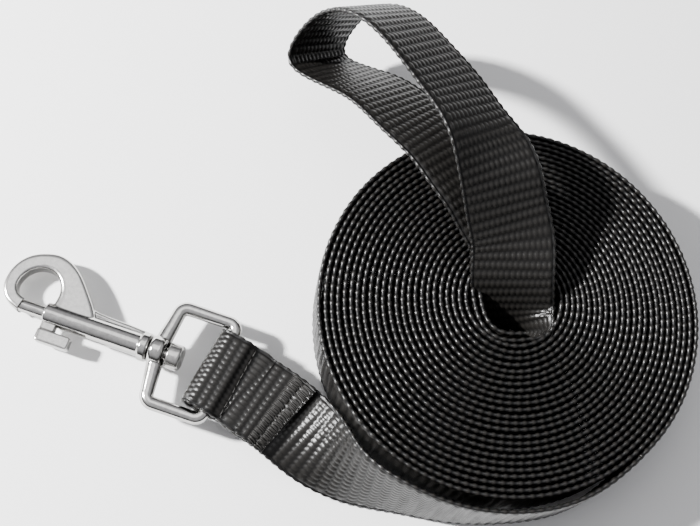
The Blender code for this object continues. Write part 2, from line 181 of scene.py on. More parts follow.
def rounded_block(low: tuple[float, float, float], high: tuple[float, float, float],
                  power: float = 0.35, sides: int = 48, rings_along: int = 25) -> Shape:
    """Bar along X with a squarish section that draws in at its ends.

    The section is a superellipse: the cosine and sine of the turn, each raised to a small power.
    The same curve along X shrinks the first and last rings, which rounds the ends.
    """
    low_corner, high_corner = np.array(low), np.array(high)
    middle, half = (low_corner + high_corner) / 2, (high_corner - low_corner) / 2
    turn = np.linspace(0, 2 * math.pi, sides, endpoint=False)
    lean = np.linspace(-math.pi / 2, math.pi / 2, rings_along)
    along = np.sign(np.sin(lean)) * np.abs(np.sin(lean)) ** power
    size = np.maximum(np.cos(lean), 0.0) ** power
    size[[0, -1]] = size[[1, -2]] * 0.8
    across = np.sign(np.cos(turn)) * np.abs(np.cos(turn)) ** power
    up = np.sign(np.sin(turn)) * np.abs(np.sin(turn)) ** power
    rings = np.stack([
        np.broadcast_to((middle[0] + half[0] * along)[:, None], (rings_along, sides)),
        middle[1] + half[1] * size[:, None] * across[None, :],
        middle[2] + half[2] * size[:, None] * up[None, :],
    ], axis=-1)
    return loft(rings)


def spline(rows: np.ndarray, places: np.ndarray, at: np.ndarray) -> np.ndarray:
    """Natural cubic spline through rows of numbers.

    Between two places the curve is the straight mix of its two rows plus a cubic term weighted
    by the second derivatives there, which come from one tridiagonal set of equations.

    Args:
        rows: Values at the places, of shape (n, k).
        places: Rising parameter of each row.
        at: Parameters to evaluate.

    Returns:
        Values of shape (len(at), k).
    """
    gap = np.diff(places)
    matrix = np.diag(np.r_[1.0, 2 * (gap[:-1] + gap[1:]), 1.0])
    inner = np.arange(1, len(rows) - 1)
    matrix[inner, inner - 1] = gap[:-1]
    matrix[inner, inner + 1] = gap[1:]
    slope = np.diff(rows, axis=0) / gap[:, None]
    right = np.zeros_like(rows)
    right[1:-1] = 6 * np.diff(slope, axis=0)
    bend = np.linalg.solve(matrix, right)
    k = np.clip(np.searchsorted(places, at) - 1, 0, len(gap) - 1)
    width = gap[k]
    b = (at - places[k]) / width
    a = 1 - b
    return (a[:, None] * rows[k] + b[:, None] * rows[k + 1]
            + ((a ** 3 - a)[:, None] * bend[k] + (b ** 3 - b)[:, None] * bend[k + 1])
            * (width ** 2)[:, None] / 6)


# ---- finishes ------------------------------------------------------------------------------
class Nodes:
    """Short way to build one node material."""

    def __init__(self, name: str) -> None:
        """Start a material with only its Principled shader and output."""
        self.material = bpy.data.materials.new(name)
        self.material.use_nodes = True
        self.tree = self.material.node_tree
        self.shader = self.tree.nodes["Principled BSDF"]

    def add(self, kind: str, **settings: object) -> bpy.types.Node:
        """Add a node; settings name its properties or, where it has none, its input sockets."""
        node = self.tree.nodes.new(kind)
        for key, value in settings.items():
            if hasattr(node, key):
                setattr(node, key, value)
            else:
                node.inputs[key.replace("_", " ")].default_value = value
        return node

    def link(self, source: Socket, target: Socket) -> None:
        """Join two sockets."""
        self.tree.links.new(source, target)

    def ramp(self, source: Socket, stops: list[tuple[float, Colour]]) -> Socket:
        """Map a value through a colour ramp and return the colour socket."""
        node = self.add("ShaderNodeValToRGB")
        for element, (place, colour) in zip(node.color_ramp.elements, stops):
            element.position = place
            element.color = (*colour, 1.0)
        for place, colour in stops[2:]:
            node.color_ramp.elements.new(place).color = (*colour, 1.0)
        self.link(source, node.inputs["Fac"])
        return node.outputs["Color"]

    def spread(self, source: Socket, low: float, high: float) -> Socket:
        """Map 0..1 to low..high and return the value socket."""
        node = self.add("ShaderNodeMapRange")
        node.inputs["To Min"].default_value = low
        node.inputs["To Max"].default_value = high
        self.link(source, node.inputs["Value"])
        return node.outputs["Result"]


@dataclass(frozen=True)
class YarnFinish:
    """Black filament yarn: glossy crowns, dull valleys darkened with painted shade, fine filaments
    along the yarn.
    """

    name: str
    crown: Colour
    valley_shade: Colour
    smooth: float
    rough: float
    filaments_per_m: float = 6000.0
    filament_stretch: float = 0.07
    filament_depth: float = 0.35
    shine: float = 0.34
    valley_rough: float = 0.6

    def make(self) -> bpy.types.Material:
        """Build the material."""
        nodes = Nodes(self.name)
        crown = nodes.add("ShaderNodeAttribute", attribute_name="crown")
        cloth = nodes.add("ShaderNodeAttribute", attribute_name="cloth")
        stretch = nodes.add("ShaderNodeMapping")
        fine = self.filaments_per_m
        stretch.inputs["Scale"].default_value = (fine * self.filament_stretch, fine, fine)
        nodes.link(cloth.outputs["Vector"], stretch.inputs["Vector"])
        filament = nodes.add("ShaderNodeTexNoise", Scale=1.0, Detail=2.0, Roughness=0.5)
        nodes.link(stretch.outputs["Vector"], filament.inputs["Vector"])
        place = nodes.add("ShaderNodeTexCoord")
        dust = nodes.add("ShaderNodeTexNoise", Scale=140.0, Detail=3.0, Roughness=0.6)
        nodes.link(place.outputs["Object"], dust.inputs["Vector"])
        # Painted shade: the base colour runs from the crown colour on the tops to the far darker
        # valley colour in the hollows.
        colour = nodes.ramp(crown.outputs["Fac"], [(0.35, self.valley_shade), (0.95, self.crown)])
        nodes.link(colour, nodes.shader.inputs["Base Color"])
        mixed = nodes.add("ShaderNodeMath", operation="MULTIPLY")
        nodes.link(dust.outputs["Fac"], mixed.inputs[0])
        nodes.link(nodes.spread(filament.outputs["Fac"], 0.75, 1.25), mixed.inputs[1])
        gloss = nodes.spread(mixed.outputs["Value"], self.smooth, self.rough)
        dull = nodes.add("ShaderNodeMapRange", From_Min=0.25, From_Max=0.75,
                         To_Min=self.valley_rough, To_Max=0.0)
        nodes.link(crown.outputs["Fac"], dull.inputs["Value"])
        rough = nodes.add("ShaderNodeMath", operation="MAXIMUM")
        nodes.link(gloss, rough.inputs[0])
        nodes.link(dull.outputs["Result"], rough.inputs[1])
        nodes.link(rough.outputs["Value"], nodes.shader.inputs["Roughness"])
        bump = nodes.add("ShaderNodeBump", Strength=self.filament_depth, Distance=0.00008)
        nodes.link(filament.outputs["Fac"], bump.inputs["Height"])
        nodes.link(bump.outputs["Normal"], nodes.shader.inputs["Normal"])
        nodes.shader.inputs["Specular IOR Level"].default_value = self.shine
        return nodes.material


@dataclass(frozen=True)
class PlatedFinish:
    """Polished plating over a casting: bright, slightly wavy, with dulled patches.

    Sides that lean away from the casting's flat face keep only a share of the base colour, as painted
    shade.  That sets its outline off against a pale floor; it is a choice of look, not a change of
    the metal.
    """

    name: str
    colour: Colour
    smooth: float
    rough: float
    wave_depth: float
    flank_shade: float = 0.38             # share of the base colour kept by the steepest sides, as painted shade

    def make(self) -> bpy.types.Material:
        """Build the material."""
        nodes = Nodes(self.name)
        place = nodes.add("ShaderNodeTexCoord")
        wave = nodes.add("ShaderNodeTexNoise", Scale=260.0, Detail=1.5, Roughness=0.4)
        haze = nodes.add("ShaderNodeTexNoise", Scale=900.0, Detail=4.0, Roughness=0.65)
        for texture in (wave, haze):
            nodes.link(place.outputs["Object"], texture.inputs["Vector"])
        dull = tuple(0.86 * c for c in self.colour)
        # Painted shade: the steep sides are darkened to a share of the base colour.
        flank_shade = nodes.add("ShaderNodeAttribute", attribute_name="flank_shade")
        sides = nodes.ramp(flank_shade.outputs["Fac"],
                           [(0.25, (1.0, 1.0, 1.0)), (0.80, (self.flank_shade,) * 3)])
        patches = nodes.ramp(haze.outputs["Fac"], [(0.3, dull), (0.62, self.colour)])
        tinted = nodes.add("ShaderNodeVectorMath", operation="MULTIPLY")
        nodes.link(patches, tinted.inputs[0])
        nodes.link(sides, tinted.inputs[1])
        nodes.link(tinted.outputs["Vector"], nodes.shader.inputs["Base Color"])
        nodes.link(nodes.spread(haze.outputs["Fac"], self.smooth, self.rough),
                   nodes.shader.inputs["Roughness"])
        bump = nodes.add("ShaderNodeBump", Strength=self.wave_depth, Distance=0.0004)
        nodes.link(wave.outputs["Fac"], bump.inputs["Height"])
        nodes.link(bump.outputs["Normal"], nodes.shader.inputs["Normal"])
        nodes.shader.inputs["Metallic"].default_value = 1.0
        return nodes.material


# The webbing's valley colour is painted shade, some 25 times darker than its crowns; the thread's two
# colours are the same.
WEBBING = YarnFinish("woven_black_webbing", (0.0100, 0.0092, 0.0084), (0.0004, 0.0004, 0.0005),
                     0.24, 0.42)
THREAD = YarnFinish("black_sewing_thread", (0.012, 0.011, 0.010), (0.012, 0.011, 0.010), 0.30, 0.55)
PLATING = PlatedFinish("bright_plating", (0.72, 0.71, 0.69), 0.08, 0.22, 0.10)
PEENED = PlatedFinish("peened_rivet_plating", (0.66, 0.65, 0.63), 0.12, 0.34, 0.5)
SPRING_WIRE = PlatedFinish("drawn_spring_wire", (0.5, 0.5, 0.5), 0.25, 0.45, 0.05)


# ---- making pieces -------------------------------------------------------------------------
def make_object(name: str, shape: Shape) -> bpy.types.Object:
    """Put a shape into a new mesh object at the origin, in metres, with its values."""
    mesh = bpy.data.meshes.new(name)
    faces = shape.quads.tolist() + shape.fans.tolist()
    mesh.from_pydata((shape.points * MM).tolist(), [], faces)
    mesh.shade_smooth()
    for key, value in shape.values.items():
        kind = "FLOAT" if value.shape[1] == 1 else "FLOAT_VECTOR"
        layer = mesh.attributes.new(key, kind, "POINT")
        part = "value" if kind == "FLOAT" else "vector"
        layer.data.foreach_set(part, value.astype(np.float32).ravel())
    obj = bpy.data.objects.new(name, mesh)
    bpy.context.scene.collection.objects.link(obj)
    return obj


def finish_piece(obj: bpy.types.Object, material: bpy.types.Material, body: Body, slot: str,
                 *replaced: str) -> bpy.types.Object:
    """Dress a piece, make it ride on its body and hide the CAD nodes it stands for."""
    obj.data.materials.clear()
    obj.data.materials.append(material)
    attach(obj, body.value)
    if replaced:
        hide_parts(*replaced)
    LOG.info("%s: %d faces on %s", obj.name, len(obj.data.polygons), body.value)
    return obj


def cast(name: str, solids: list[Shape], cutters: list[Shape], voxel: float,
         rounds: int) -> bpy.types.Object:
    """Fuse solids into one casting with softly filleted corners.

    The cutters are taken from each solid, the results are skinned again on an even grid of
    cells, and each point then moves part of the way to its neighbours' mean, a few times over.

    Args:
        name: Name of the working object.
        solids: Closed shapes that overlap.
        cutters: Closed shapes to take away.
        voxel: Cell size in millimetres.
        rounds: Smoothing rounds.

    Returns:
        The casting, in the solids' own millimetres and with its flanks marked.
    """
    scene = bpy.context.scene.collection
    tools = []
    for shape in cutters:
        mesh = bpy.data.meshes.new("cutter")
        mesh.from_pydata(shape.points.tolist(), [], shape.quads.tolist() + shape.fans.tolist())
        tools.append(bpy.data.objects.new("cutter", mesh))
        scene.objects.link(tools[-1])
    whole = bpy.data.meshes.new(name)
    faces, points = [], []
    for shape in solids:
        mesh = bpy.data.meshes.new("solid")
        mesh.from_pydata(shape.points.tolist(), [], shape.quads.tolist() + shape.fans.tolist())
        work = bpy.data.objects.new("solid", mesh)
        scene.objects.link(work)
        for tool in tools:
            cut = work.modifiers.new("cut", "BOOLEAN")
            cut.operation = "DIFFERENCE"
            cut.solver = "EXACT"
            cut.object = tool
        baked = evaluated_mesh(work)
        faces += [[i + len(points) for i in face.vertices] for face in baked.polygons]
        points += [tuple(v.co) for v in baked.vertices]
        bpy.data.objects.remove(work, do_unlink=True)
    for tool in tools:
        bpy.data.objects.remove(tool, do_unlink=True)
    whole.from_pydata(points, [], faces)
    obj = bpy.data.objects.new(name, whole)
    scene.objects.link(obj)
    skin = obj.modifiers.new("skin", "REMESH")
    skin.mode = "VOXEL"
    skin.voxel_size = voxel
    soft = obj.modifiers.new("soft", "SMOOTH")
    soft.factor = 0.5
    soft.iterations = rounds
    baked = evaluated_mesh(obj)
    obj.modifiers.clear()
    obj.data = baked
    obj.data.shade_smooth()
    mark_flanks(obj.data)
    return obj


def mark_flanks(mesh: bpy.types.Mesh) -> None:
    """Keep at each vertex how far its normal leans away from the Z axis: one less its Z share.  The
    plating paints shade on the sides by it.
    """
    normals = np.empty(len(mesh.vertices) * 3, np.float32)
    mesh.vertex_normals.foreach_get("vector", normals)
    layer = mesh.attributes.new("flank_shade", "FLOAT", "POINT")
    layer.data.foreach_set("value", 1.0 - np.abs(normals[2::3]))


def evaluated_mesh(obj: bpy.types.Object) -> bpy.types.Mesh:
    """Return a copy of an object's mesh with its modifiers applied."""
    bpy.context.view_layer.update()
    graph = bpy.context.evaluated_depsgraph_get()
    return bpy.data.meshes.new_from_object(obj.evaluated_get(graph))


# ---- the strap -----------------------------------------------------------------------------
@dataclass
class Weave:
    """Plain weave of coarse filament yarn, seen as rows of oval crowns in brick order."""

    width: float = 25.0
    thick: float = 1.65
    pick: float = 2.8               # crown to crown along the strap, in neighbouring yarns
    yarn: float = 0.83              # yarn to yarn across the strap
    yarn_half: float = 0.9
    float_height: float = 0.38
    yarn_round: float = 0.40
    edge_pick: float = 2.6
    edge_core: float = 0.50
    edge_crown: float = 0.32

    def height(self, run: np.ndarray, side: np.ndarray) -> np.ndarray:
        """Height of the cloth's face above its core.

        A yarn's back is a half ellipse across, and the yarn rises and dips as a cosine of the
        run, in step with its second neighbours and against its first.  The face is the highest
        of the four nearest yarns.

        Args:
            run: Distances along the strap, shape (n, 1).
            side: Distances across it, shape (1, m).

        Returns:
            Heights of shape (n, m).
        """
        base = np.floor(side / self.yarn)
        best = np.full(np.broadcast_shapes(run.shape, side.shape), -1.0)
        for step in (-1, 0, 1, 2):
            yarn = base + step
            away = (side - yarn * self.yarn) / self.yarn_half
            back = self.yarn_round * np.sqrt(np.maximum(0.0, 1 - away ** 2))
            dip = self.float_height * np.cos(math.pi * (run / self.pick - yarn))
            best = np.maximum(best, np.where(np.abs(away) < 1, dip + back, -1.0))
        return np.maximum(best, -self.float_height)

    @property
    def peak(self) -> float:
        """Height of a crown's top above the core."""
        return self.float_height + self.yarn_round

    def edge(self, run: np.ndarray) -> np.ndarray:
        """Bead of the selvedge, 0 in the notch between two picks and 1 on the bead."""
        return np.abs(np.sin(math.pi * run / self.edge_pick)) ** 1.5


@dataclass
class Ribbon:
    """A stretch of strap: its middle line, the direction across it and its face direction."""

    run: np.ndarray
    middle: np.ndarray
    across: np.ndarray
    face: np.ndarray

    @classmethod
    def through(cls, rows: np.ndarray, step: float) -> "Ribbon":
        """Lay a strap through rows of middle and across, with stations every `step` of its length.

        The across direction is made square to the run, and the face is across times run.
        """
        places = np.r_[0.0, np.cumsum(np.linalg.norm(np.diff(rows[:, :3], axis=0), axis=1))]
        fine = np.linspace(0.0, places[-1], int(places[-1] / 0.25))
        line = spline(rows, places, fine)[:, :3]
        length = np.r_[0.0, np.cumsum(np.linalg.norm(np.diff(line, axis=0), axis=1))]
        run = np.linspace(0.0, length[-1], int(round(length[-1] / step)) + 1)
        at = np.interp(run, length, fine)
        values = spline(rows, places, at)
        middle, across = values[:, :3], values[:, 3:6]
        ahead = np.gradient(middle, axis=0)
        ahead /= np.linalg.norm(ahead, axis=1)[:, None]
        across = across - ahead * (across * ahead).sum(axis=1)[:, None]
        across /= np.linalg.norm(across, axis=1)[:, None]
        return cls(run, middle, across, np.cross(across, ahead))

    def part(self, start: float, stop: float) -> "Ribbon":
        """Return the stations between two lengths."""
        first, last = np.searchsorted(self.run, [start, stop])
        keep = slice(first, last + 1)
        return Ribbon(self.run[keep], self.middle[keep], self.across[keep], self.face[keep])

    def spot(self, run: np.ndarray, side: np.ndarray, lift: np.ndarray) -> np.ndarray:
        """Points at lengths, distances across and heights above the middle (all of one shape)."""
        def mix(part: np.ndarray) -> np.ndarray:
            """Read a row of vectors at the asked lengths."""
            return np.stack([np.interp(run, self.run, part[:, k]) for k in range(3)], axis=-1)

        return (mix(self.middle) + mix(self.across) * side[..., None]
                + mix(self.face) * lift[..., None])


class Detail(Enum):
    """How many columns a face of the strap has."""

    WOVEN = 70
    HIDDEN = 2


@dataclass
class Strap:
    """The webbing from the sewn tail, through the wound turns, to the end of the hand loop."""

    weave: Weave = field(default_factory=Weave)
    station: float = 0.56
    coil_centre: tuple[float, float] = (46.234, -18.177)
    hole_shift: tuple[float, float] = (2.5, 3.0)
    outer_radius: float = 56.8
    inner_radius: float = 12.9
    leave_deg: float = -50.0
    turns: float = 24.61
    rows_per_turn: int = 20
    coil_height: float = 12.75
    layer: float = 2.05
    tail_length: float = 14.5
    fold_yaw_deg: float = -28.5
    fold_nose: float = -2.1
    fold_radius: float = 3.15
    fold_shift: float = -0.5
    fold_shoulder: Pairs = ((8.0, 1.15), (6.2, 1.45), (3.7, 2.95), (1.4, 3.15))
    lead: Rows = (
        (-74.5, -23.9, 9.4, 0.48, 0.88, 0.00), (-66.2, -29.4, 9.1, 0.48, 0.87, 0.06),
        (-58.5, -35.9, 9.4, 0.49, 0.80, 0.30), (-46.2, -46.8, 11.4, 0.27, 0.48, 0.83),
        (-31.6, -53.6, 12.7, 0.08, 0.20, 0.97), (-17.0, -57.9, 12.8, 0.02, 0.07, 1.00),
        (0.0, -59.2, 12.8, 0.00, 0.00, 1.00), (19.7, -55.2, 12.8, 0.00, 0.00, 1.00),
    )
    loop_base: Rows = (
        (-8.2, 4.9, 12.8, 0.00, 0.00, 1.00), (-5.9, -4.0, 12.8, 0.00, 0.00, 1.00),
        (2.3, -7.6, 12.8, 0.00, 0.00, 1.00), (7.4, -5.0, 13.3, 0.25, 0.00, 0.97),
        (4.6, -0.9, 16.3, 0.62, 0.10, 0.78), (2.1, 3.0, 22.2, 0.84, 0.14, 0.53),
        (1.0, 8.8, 29.0, 0.94, 0.20, 0.30), (0.4, 17.2, 34.0, 0.97, 0.20, 0.12),
    )
    loop_open: Rows = (
        (-2.0, 25.0, 39.0, 0.95, 0.25, 0.05), (-4.6, 33.1, 44.6, 0.94, 0.35, 0.00),
        (-11.7, 49.0, 48.7, 0.79, 0.43, -0.44), (-18.3, 60.3, 48.0, 0.76, 0.43, -0.49),
        (-25.9, 71.3, 47.0, 0.73, 0.44, -0.53), (-36.0, 84.0, 44.0, 0.73, 0.41, -0.55),
        (-44.2, 90.4, 37.0, 0.73, 0.40, -0.56), (-52.4, 89.7, 27.2, 0.74, 0.40, -0.55),
        (-56.2, 83.0, 17.8, 0.75, 0.40, -0.53), (-50.0, 76.6, 20.6, 0.77, 0.42, -0.47),
        (-37.7, 66.7, 29.0, 0.76, 0.48, -0.43), (-28.7, 56.2, 34.0, 0.76, 0.54, -0.36),
        (-20.2, 46.9, 36.5, 0.77, 0.57, -0.28), (-14.2, 38.8, 36.8, 0.82, 0.53, -0.20),
        (-9.0, 32.4, 36.2, 0.86, 0.47, -0.10), (-4.4, 26.0, 34.4, 0.92, 0.35, 0.00),
    )
    marks: dict[str, float] = field(default_factory=dict)

    def in_row_frame(self, rows: np.ndarray) -> np.ndarray:
        """Move rows measured from the middle of the coil to the frame's own place."""
        moved = np.array(rows, float)
        moved[:, 0] += self.coil_centre[0]
        moved[:, 1] += self.coil_centre[1]
        return moved

    def layer_rows(self, rows: np.ndarray, lift: float) -> np.ndarray:
        """Rows of a second layer that lies `lift` off the first, along the first one's face."""
        first = Ribbon.through(np.array(rows), 2.0)
        return np.hstack([first.middle + first.face * lift, first.across])

    def fold_rows(self, bar: np.ndarray) -> np.ndarray:
        """Rows of the fold over the eye's bar: a half circle with a straight run either side."""
        heading = np.array([math.cos(math.radians(self.fold_yaw_deg)),
                            math.sin(math.radians(self.fold_yaw_deg)), 0.0])
        side = np.array([-heading[1], heading[0], 0.0])
        turn = np.linspace(0.0, math.pi, 9)
        nose = np.stack([self.fold_nose - self.fold_radius * np.sin(turn),
                         self.fold_radius * np.cos(turn)], axis=1)
        upper = np.array(self.fold_shoulder)
        lower = upper[::-1] * (1, -1)
        flat = np.vstack([upper, nose, lower])
        centre = bar + side * self.fold_shift
        middle = centre + heading * flat[:, :1] + np.array([0.0, 0.0, 1.0]) * flat[:, 1:]
        return np.hstack([middle, np.broadcast_to(side, middle.shape)])

    def coil_rows(self) -> np.ndarray:
        """Rows of the wound turns.

        The angle runs on from where the lead arrives, the radius falls evenly with it, and the
        centre drifts evenly from the disc's middle to the hole's.  Products of slow sines move the
        radius and the height by a fraction of a millimetre, as turns wound by hand vary.
        """
        share = np.linspace(0.0, 1.0, int(self.turns * self.rows_per_turn) + 1)
        angle = math.radians(self.leave_deg) + share * self.turns * 2 * math.pi
        radius = self.outer_radius + (self.inner_radius - self.outer_radius) * share
        wander = (0.22 * np.sin(1.7 * angle) * np.sin(0.31 * angle)
                  + 0.12 * np.sin(5.3 * angle + 1.0))
        radius = radius + 0.10 * np.sin(0.83 * angle) * np.sin(3.1 * angle + 0.4)
        x = self.hole_shift[0] * share + radius * np.cos(angle)
        y = self.hole_shift[1] * share + radius * np.sin(angle)
        z = self.coil_height + wander
        flat = np.zeros_like(x)
        return np.stack([x, y, z, flat, flat, flat + 1], axis=1)

    def route(self, bar: np.ndarray) -> Ribbon:
        """Lay the whole strap and remember the length at which each stretch begins.

        Args:
            bar: Middle of the eye's rear bar in the row frame, millimetres.

        Returns:
            The strap's ribbon in the row frame.
        """
        lead = self.in_row_frame(np.array(self.lead))
        above = self.layer_rows(lead, -self.layer)
        far = np.r_[0.0, np.cumsum(np.linalg.norm(np.diff(above[:, :3], axis=0), axis=1))]
        tail = above[far <= self.tail_length][::-1]
        coil = self.in_row_frame(self.coil_rows())
        base = self.in_row_frame(np.array(self.loop_base))
        under = self.layer_rows(base, -self.layer)
        opened = self.in_row_frame(np.array(self.loop_open))[::-1]
        stretches = {
            "tail": tail, "fold": self.fold_rows(bar), "lead": lead, "coil": coil,
            "under": under[1:-1], "open": opened, "base": base[::-1],
        }
        rows = np.vstack(list(stretches.values()))
        ribbon = Ribbon.through(rows, self.station)
        begin, reached = 0, 0.0
        for name, part in stretches.items():
            near = np.linalg.norm(ribbon.middle - rows[begin, :3], axis=1)
            after = ribbon.run >= reached
            reached = float(ribbon.run[np.argmin(np.where(after, near, np.inf))])
            self.marks[name] = reached
            begin += len(part)
        self.marks["end"] = float(ribbon.run[-1])
        return ribbon

    def skin(self, part: Ribbon, outer: Detail, inner: Detail) -> Shape:
        """Woven surface of a stretch of strap.

        Each station is a closed ring: the outer face's columns, a half circle round one edge,
        the inner face's columns and a half circle round the other edge.  The faces stand off
        the middle by the core and the weave's height, and the edges swell with their beads.

        Args:
            part: The stretch of strap.
            outer: Columns of the face away from the coil's middle.
            inner: Columns of the face towards it.

        Returns:
            The closed shape, with its cloth coordinates and crown values.
        """
        weave = self.weave
        run = part.run[:, None]
        reach = weave.width / 2 - 0.9
        core = weave.thick / 2 - weave.peak
        bead = weave.edge(run)
        rim = weave.edge(run + weave.edge_pick / 2)
        lean = np.linspace(-math.pi / 2, math.pi / 2, 9)[1:-1][None, :]

        def face(detail: Detail, sign: float) -> tuple[np.ndarray, np.ndarray, np.ndarray]:
            """Distances across, heights and crown values of one face's columns."""
            side = np.linspace(-reach, reach, detail.value)[None, :]
            if detail is Detail.HIDDEN:
                lift = np.broadcast_to(core + weave.peak * 0.55, (len(run), 2))
                crown = np.full((len(run), 2), 0.4)
            else:
                height = weave.height(run + (0.0 if sign < 0 else weave.pick), side)
                ease = np.clip((reach - np.abs(side)) / 0.7, 0.0, 1.0)
                height = height * ease + (1 - ease) * 0.25
                lift = core + height
                crown = np.clip((height + 0.05) / (weave.peak + 0.05), 0.0, 1.0)
            return np.broadcast_to(side, lift.shape), sign * lift, crown

        def edge(sign: float, swell: np.ndarray) -> tuple[np.ndarray, np.ndarray, np.ndarray]:
            """The same for one beaded edge, a half ellipse that grows with the bead."""
            wide = 0.62 + 0.33 * swell
            tall = weave.edge_core + weave.edge_crown * swell
            side = sign * (reach + wide * np.cos(lean))
            lift = sign * tall * np.sin(lean)
            return side, lift, np.broadcast_to(swell, side.shape)

        outer_face = face(outer, -1.0)
        inner_face = tuple(a[:, ::-1] for a in face(inner, 1.0))
        parts = (outer_face, edge(1.0, bead), inner_face, edge(-1.0, rim))
        side, lift, crown = (np.hstack([p[k] for p in parts]) for k in range(3))
        rings = (part.middle[:, None, :] + part.across[:, None, :] * side[..., None]
                 + part.face[:, None, :] * lift[..., None])
        girth = np.cumsum(np.abs(np.diff(side, axis=1, prepend=side[:, :1]))
                          + np.abs(np.diff(lift, axis=1, prepend=lift[:, :1])), axis=1)
        places = (np.broadcast_to(run, girth.shape), girth, np.zeros_like(girth))
        cloth = np.stack(places, axis=-1) * MM
        # The crown values set the roughness and the painted shade of the valleys and of the notches
        # between edge beads.
        return loft(rings, {"crown": crown[..., None], "cloth": cloth})

    def build(self, bar: np.ndarray, material: bpy.types.Material) -> Ribbon:
        ribbon = self.route(bar)
        turn = 2 * math.pi * self.outer_radius
        start, stop = self.marks["coil"], self.marks["under"]
        last_turn = 2 * math.pi * (self.inner_radius + 2)
        half = (start + turn + stop - last_turn) / 2
        woven, hidden = Detail.WOVEN, Detail.HIDDEN
        pieces = (
            ("woven_lead", 0.0, start, woven, woven, "folded", "strap_lead"),
            ("coil_outer_turn", start, start + turn, woven, hidden, "laid", "strap_coil"),
            ("coil_middle_turns", start + turn, half, hidden, hidden, "laid", "strap_coil"),
            ("coil_inner_turns", half, stop - last_turn, hidden, hidden, "laid", "strap_coil"),
            ("coil_hole_turn", stop - last_turn, stop, hidden, woven, "laid", "strap_coil"),
            ("woven_hand_loop", stop, self.marks["end"], woven, woven, "folded", "hand_loop"),
        )
        for name, begin, end, outer, inner, held, node in pieces:
            part = ribbon.part(begin, end)
            obj = make_object(name, self.skin(part, outer, inner))
            finish_piece(obj, material, Body.STRAP, "webbing", node)
        LOG.info("strap length %.3f m, marks %s", ribbon.run[-1] * MM, self.marks)
        return ribbon


@dataclass
class Stitching:
    """Sewing thread laid on the strap: each stitch is a short arc that dives in at both ends."""

    thread: float = 0.19
    rise: float = 0.95
    dive: float = 0.45              # height above the strap's middle at which a stitch ends
    tack_gap: float = 0.3           # from the cut end to the first stitch
    tack_deep: float = 6.6
    tack_wide: float = 23.0
    tack_stitches: int = 52
    row_offset: float = 1.6         # the row's place past the start of the fold
    row_reach: float = 11.0
    row_stitches: int = 9
    box_size: tuple[float, float] = (15.0, 18.0)
    box_from_end: float = 13.0
    box_stitch: float = 2.6

    def arcs(self, ribbon: Ribbon, start: np.ndarray, stop: np.ndarray, face: float) -> Shape:
        """Thread arcs between pairs of spots on a face of the strap.

        Each arc runs straight between its two spots, and its height above the middle of the
        strap is a sine of the way along.

        Args:
            ribbon: The strap.
            start: Length and distance across of each arc's first end, shape (n, 2).
            stop: The same of its other end.
            face: -1 for the outer face and 1 for the inner one.

        Returns:
            All the arcs as one shape.
        """
        way = np.linspace(0.0, 1.0, 7)[None, :]
        run = start[:, :1] + (stop - start)[:, :1] * way
        side = start[:, 1:] + (stop - start)[:, 1:] * way
        lift = face * (self.dive + (self.rise - self.dive) * np.sin(math.pi * way) ** 0.35)
        paths = ribbon.spot(run, side, np.broadcast_to(lift, run.shape))
        return joined([tube(path, self.thread, 6) for path in paths])

    def box(self, centre: tuple[float, float]) -> tuple[np.ndarray, np.ndarray]:
        """Ends of the stitches of a sewn rectangle with its two diagonals."""
        half = np.array(self.box_size) / 2
        low, high = np.array(centre) - half, np.array(centre) + half
        corners = np.array([low, (high[0], low[1]), high, (low[0], high[1]), low, high,
                            (high[0], low[1]), (low[0], high[1])])
        starts, stops = [], []
        for a, b in zip(corners[:-1], corners[1:]):
            count = max(2, int(np.linalg.norm(b - a) / self.box_stitch))
            knots = a + (b - a) * np.linspace(0, 1, count + 1)[:, None]
            starts.append(knots[:-1] + (b - a) * 0.06 / count)
            stops.append(knots[1:] - (b - a) * 0.06 / count)
        return np.vstack(starts), np.vstack(stops)

    def build(self, ribbon: Ribbon, strap: Strap, material: bpy.types.Material) -> None:
        """Sew the bartack, the row by the eye and the hand loop's box."""
        rng = np.random.default_rng(7)
        count = self.tack_stitches

        def knots_at(place: float, side: np.ndarray) -> np.ndarray:
            """Stitch ends in a line across the strap, each a little off its place."""
            line = np.stack([np.full(count, place), side], axis=1)
            return line + rng.normal(0, 0.12, (count, 2))

        side = np.linspace(-self.tack_wide / 2, self.tack_wide / 2, count)
        zig = knots_at(self.tack_gap, side)
        zag = knots_at(self.tack_gap + self.tack_deep, side + 0.2)
        middle = (zig + zag) / 2 + rng.normal(0, 0.25, (count, 2))
        tack = self.arcs(ribbon, np.vstack([zig, middle]), np.vstack([middle, zag]), 1.0)
        piece = make_object("eye_bartack_thread", tack)
        finish_piece(piece, material, Body.STRAP, "thread", "eye_bartack")

        place = strap.marks["fold"] + self.row_offset
        number = self.row_stitches
        knots = np.linspace(-self.row_reach, self.row_reach, number + 1)
        line = np.full(number, place)
        starts = np.stack([line, knots[:-1] + 0.15], axis=1) + rng.normal(0, 0.1, (number, 2))
        stops = np.stack([line, knots[1:] - 0.15], axis=1) + rng.normal(0, 0.1, (number, 2))
        piece = make_object("eye_row_thread", self.arcs(ribbon, starts, stops, 1.0))
        finish_piece(piece, material, Body.STRAP, "thread", "eye_stitch_row")

        starts, stops = self.box((strap.marks["end"] - self.box_from_end, 0.0))
        piece = make_object("loop_box_thread", self.arcs(ribbon, starts, stops, -1.0))
        finish_piece(piece, material, Body.STRAP, "thread", "loop_box_stitch")


